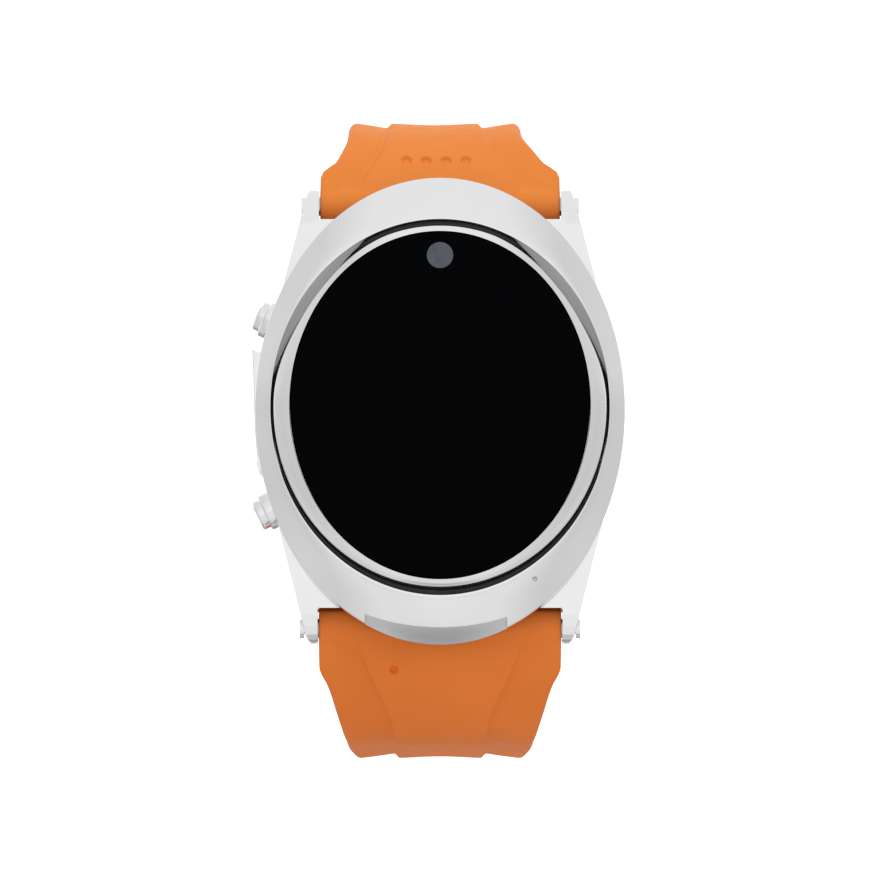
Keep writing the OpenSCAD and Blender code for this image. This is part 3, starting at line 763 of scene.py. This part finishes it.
def cross_barrel(y, z, radius, half, sides=64):
    """A round barrel along X with softened ends."""
    angles = np.linspace(0, TAU, sides, endpoint=False)
    ends = [(half, radius - 0.25), (half - 0.03, radius - 0.15), (half - 0.09, radius - 0.07),
            (half - 0.17, radius - 0.02), (half - 0.28, radius)]
    profile = [(-x, r) for x, r in ends] + [(x, r) for x, r in reversed(ends)]
    verts = np.concatenate([np.stack([np.full(sides, x), y + r * np.cos(angles),
                                      z + r * np.sin(angles)], 1) for x, r in profile])
    return verts, tube_faces(len(profile), sides)


def cross_bore(y, z, radius, sides, reach=20):
    return rod((-reach, y, z), (reach, y, z), radius, sides)


def tongue_slot():
    """The opening for the buckle's tongue at the end of the short half."""
    corners = [(x, a, o) for x in (-1.8, 1.8) for a in (-4.2, 3.0) for o in (-3.0, 3.0)]
    return (placed(SHORT, SHORT_LEN, corners),
            [(0, 1, 3, 2), (4, 6, 7, 5), (0, 4, 5, 1), (2, 3, 7, 6), (0, 2, 6, 4), (1, 5, 7, 3)])


def strap_hole(index):
    """One of the holes that the tongue drops into, counted from the tip."""
    ends = placed(LONG, LONG_LEN - HOLE_FROM_TIP - HOLE_PITCH * index, [(0, 0, -4), (0, 0, 4)])
    low, high = [(x, -y, z) for x, y, z in ends]
    return rod(low, high, HOLE_RADIUS, 40)


short_strap = piece(
    "silicone_short_half",
    strap_shape(SHORT, stations_for(SHORT_LEN, (4.2, 6.7)), SHORT_HALF, SHORT_THICK, SHORT_PANEL,
                False, SHORT_DIMPLES),
    "strap_short", "orange_silicone", ["strap_short"], 50)
long_strap = piece(
    "silicone_long_half",
    strap_shape(LONG, stations_for(LONG_LEN - 0.05, (3.3, 5.7)), LONG_HALF, LONG_THICK, LONG_PANEL,
                True, LONG_DIMPLES, TIP),
    "strap_long", "orange_silicone", ["strap_long"], 50)

pin_y, pin_z, _ = walk(SHORT, SHORT_LEN)
for strap, side in ((short_strap, 1), (long_strap, -1)):
    join(strap, cross_barrel(side * BAR[0], BAR[1], BAR_BARREL, BAR_HALF))
join(short_strap, cross_barrel(pin_y, pin_z, PIN_BARREL, PIN_HALF))
for strap, side in ((short_strap, 1), (long_strap, -1)):
    cut(strap, cross_bore(side * BAR[0], BAR[1], BAR_BORE, 48))
cut(short_strap, cross_bore(pin_y, pin_z, PIN_BORE, 40))
cut(short_strap, tongue_slot())
for index in range(HOLES):
    cut(long_strap, strap_hole(index))
for strap in (short_strap, long_strap):
    strap.data.shade_smooth()
    sharpen(strap, 42)


# ---------- keepers ----------

# The keepers go round the short half where it bends
BEND = SHORT[2][1]
bend_start = walk(SHORT, SHORT_LEN - SHORT[2][0])
BEND_CENTRE = (bend_start[0] - BEND, bend_start[1])
STRAP_HALF, STRAP_THICK = 11.0, 1.7


def rounded_loop(half, low, high, radius):
    """Points (x, distance from the bend's centre) round a rounded rectangle."""
    corners = ((half - radius, high - radius), (-half + radius, high - radius),
               (-half + radius, low + radius), (half - radius, low + radius))
    return [(cx + radius * math.cos(a), cr + radius * math.sin(a))
            for turn, (cx, cr) in enumerate(corners)
            for a in np.radians([90 * turn + 15 * k for k in range(7)])]


def keeper_shape(middle, gap, span=13.3, wall=1.3, room=3.2, outer_round=1.6, soft=0.32):
    """A rounded silicone loop swept round the bend's centre, with softened rims."""
    half = STRAP_HALF + gap
    low, high = BEND - STRAP_THICK - gap, BEND + STRAP_THICK + gap + room
    inner = rounded_loop(half, low, high, 0.5)
    inner_rim = rounded_loop(half + soft, low - soft, high + soft, 0.5 + soft)
    outer = rounded_loop(half + wall, low - wall, high + wall, outer_round)
    outer_rim = rounded_loop(half + wall - soft, low - wall + soft, high + wall - soft,
                             outer_round - soft)
    edge = span / 2
    inside = np.linspace(-1, 1, 9) * (edge - math.degrees(soft / BEND))
    layers = [(inner_rim, -edge)] + [(inner, at) for at in inside] + [(inner_rim, edge)]
    layers += [(outer_rim, edge)] + [(outer, at) for at in inside[::-1]] + [(outer_rim, -edge)]
    verts = []
    for points, at in layers:
        a = math.radians(middle + at)
        verts += [(x, BEND_CENTRE[0] + r * math.cos(a), BEND_CENTRE[1] - r * math.sin(a))
                  for x, r in points]
    return verts, grid_faces(len(layers), len(outer), wrap_rows=True)


piece("fixed_loop", keeper_shape(63, 0.05), "strap_short", "orange_silicone", ["fixed_keeper"], 50)
piece("free_loop", keeper_shape(39, 0.22), "free_keeper", "orange_silicone", ["free_keeper"], 50)


# ---------- floor ----------

def add_floor(size=6.0):
    """Only the camera sees the floor. Reflections and bounced light come from the studio."""
    z = CAD_BOX[0][2]
    mesh = bpy.data.meshes.new("floor")
    mesh.from_pydata([(-size, -size, z), (size, -size, z), (size, size, z), (-size, size, z)], [],
                     [(0, 1, 2, 3)])
    floor = link(bpy.data.objects.new("floor", mesh))
    look, tree, shader = material("floor_look", (0.3, 0.3, 0.3), 0.0, 0.9)
    shader.inputs["Emission Color"].default_value = (1, 1, 1, 1)
    shader.inputs["Emission Strength"].default_value = 1.0
    mottle(tree, shader, noise(tree, 3, 2), (0.28, 0.28, 0.28), (0.32, 0.32, 0.32))
    mesh.materials.append(look)
    floor.visible_glossy = False
    floor.visible_diffuse = False


add_floor()


# ---------- studio ----------

def grey_ramp(tree, source, *stops):
    """Greys along one axis of a direction, from -1 to 1."""
    node = tree.nodes.new("ShaderNodeMapRange")
    node.inputs["From Min"].default_value = -1
    node.inputs["From Max"].default_value = 1
    tree.links.new(source, node.inputs["Value"])
    return ramp(tree, node.outputs["Result"], [(place, (value,) * 3) for place, value in stops])


def mixed(tree, mode, factor, a, b):
    """Mixes two colours. Each input is a value or a socket."""
    node = tree.nodes.new("ShaderNodeMix")
    node.data_type = "RGBA"
    node.blend_type = mode
    for name, value in (("Factor", factor), ("A", a), ("B", b)):
        if isinstance(value, (float, tuple)):
            node.inputs[name].default_value = value
        else:
            tree.links.new(value, node.inputs[name])
    return node.outputs["Result"]


def add_studio():
    """A white tent: bright behind 12 o'clock, softer in front and at the sides, with a bright ceiling."""
    world = bpy.data.worlds.new("studio")
    bpy.context.scene.world = world
    world.use_nodes = True
    tree = world.node_tree
    coords = tree.nodes.new("ShaderNodeTexCoord")
    split = tree.nodes.new("ShaderNodeSeparateXYZ")
    tree.links.new(coords.outputs["Generated"], split.inputs["Vector"])
    x, y, z = (split.outputs[axis] for axis in "XYZ")
    around = grey_ramp(tree, y, (0.0, 0.5), (0.012, 0.58), (0.035, 0.85), (0.12, 0.94), (0.25, 0.96),
                       (0.4, 0.87), (0.57, 0.9), (0.64, 1.0), (1.0, 1.0))
    sides = grey_ramp(tree, x, (0.0, 0.84), (0.2, 0.8), (0.34, 0.98), (0.5, 1.0), (0.66, 0.98),
                      (0.8, 0.8), (1.0, 0.84))
    ceiling = grey_ramp(tree, z, (0.0, 0.0), (0.965, 0.0), (0.99, 1.0))
    walls = mixed(tree, "MULTIPLY", 1.0, around, sides)
    tent = mixed(tree, "MIX", ceiling, walls, (1.06, 1.06, 1.06, 1.0))
    # Below, it is bright behind 12 o'clock and dim in front
    below = grey_ramp(tree, z, (0.0, 1.0), (0.2, 1.0), (0.34, 0.0))
    under = grey_ramp(tree, y, (0.0, 0.4), (0.4, 0.45), (0.5, 0.8), (0.58, 1.25))
    background = tree.nodes["Background"]
    tree.links.new(mixed(tree, "MIX", below, tent, under), background.inputs["Color"])
    background.inputs["Strength"].default_value = 1.0


def add_key_light(place=(0.05, 0.9, 0.7), size=0.8, power=5.5, color=(0.5, 1.05, 1.4)):
    """A cool light behind 12 o'clock, which shows in no reflection."""
    data = bpy.data.lights.new("key", "AREA")
    data.shape = "RECTANGLE"
    data.size = size
    data.size_y = size
    data.energy = power
    data.color = color
    lamp = link(bpy.data.objects.new("key", data))
    lamp.location = place
    lamp.rotation_euler = (-Vector(place)).to_track_quat("-Z", "Y").to_euler()
    lamp.visible_glossy = False


add_studio()
add_key_light()


# ---------- camera ----------

# The camera looks from 0.6 m, tilted towards 6 o'clock
TILT = math.radians(7.5)
DISTANCE = 0.6
TARGET = Vector((0.00037, -0.00418, 0.01))


def add_camera():
    data = bpy.data.cameras.new("camera")
    data.lens = 195.8
    data.sensor_width = 36
    data.clip_start = 0.01
    data.clip_end = 20
    camera = link(bpy.data.objects.new("camera", data))
    camera.location = TARGET + DISTANCE * Vector((0, -math.sin(TILT), math.cos(TILT)))
    camera.rotation_euler = (TILT, 0, 0)
    bpy.context.scene.camera = camera


add_camera()
bpy.context.scene.view_settings.view_transform = "Standard"
bpy.context.scene.view_settings.look = "None"
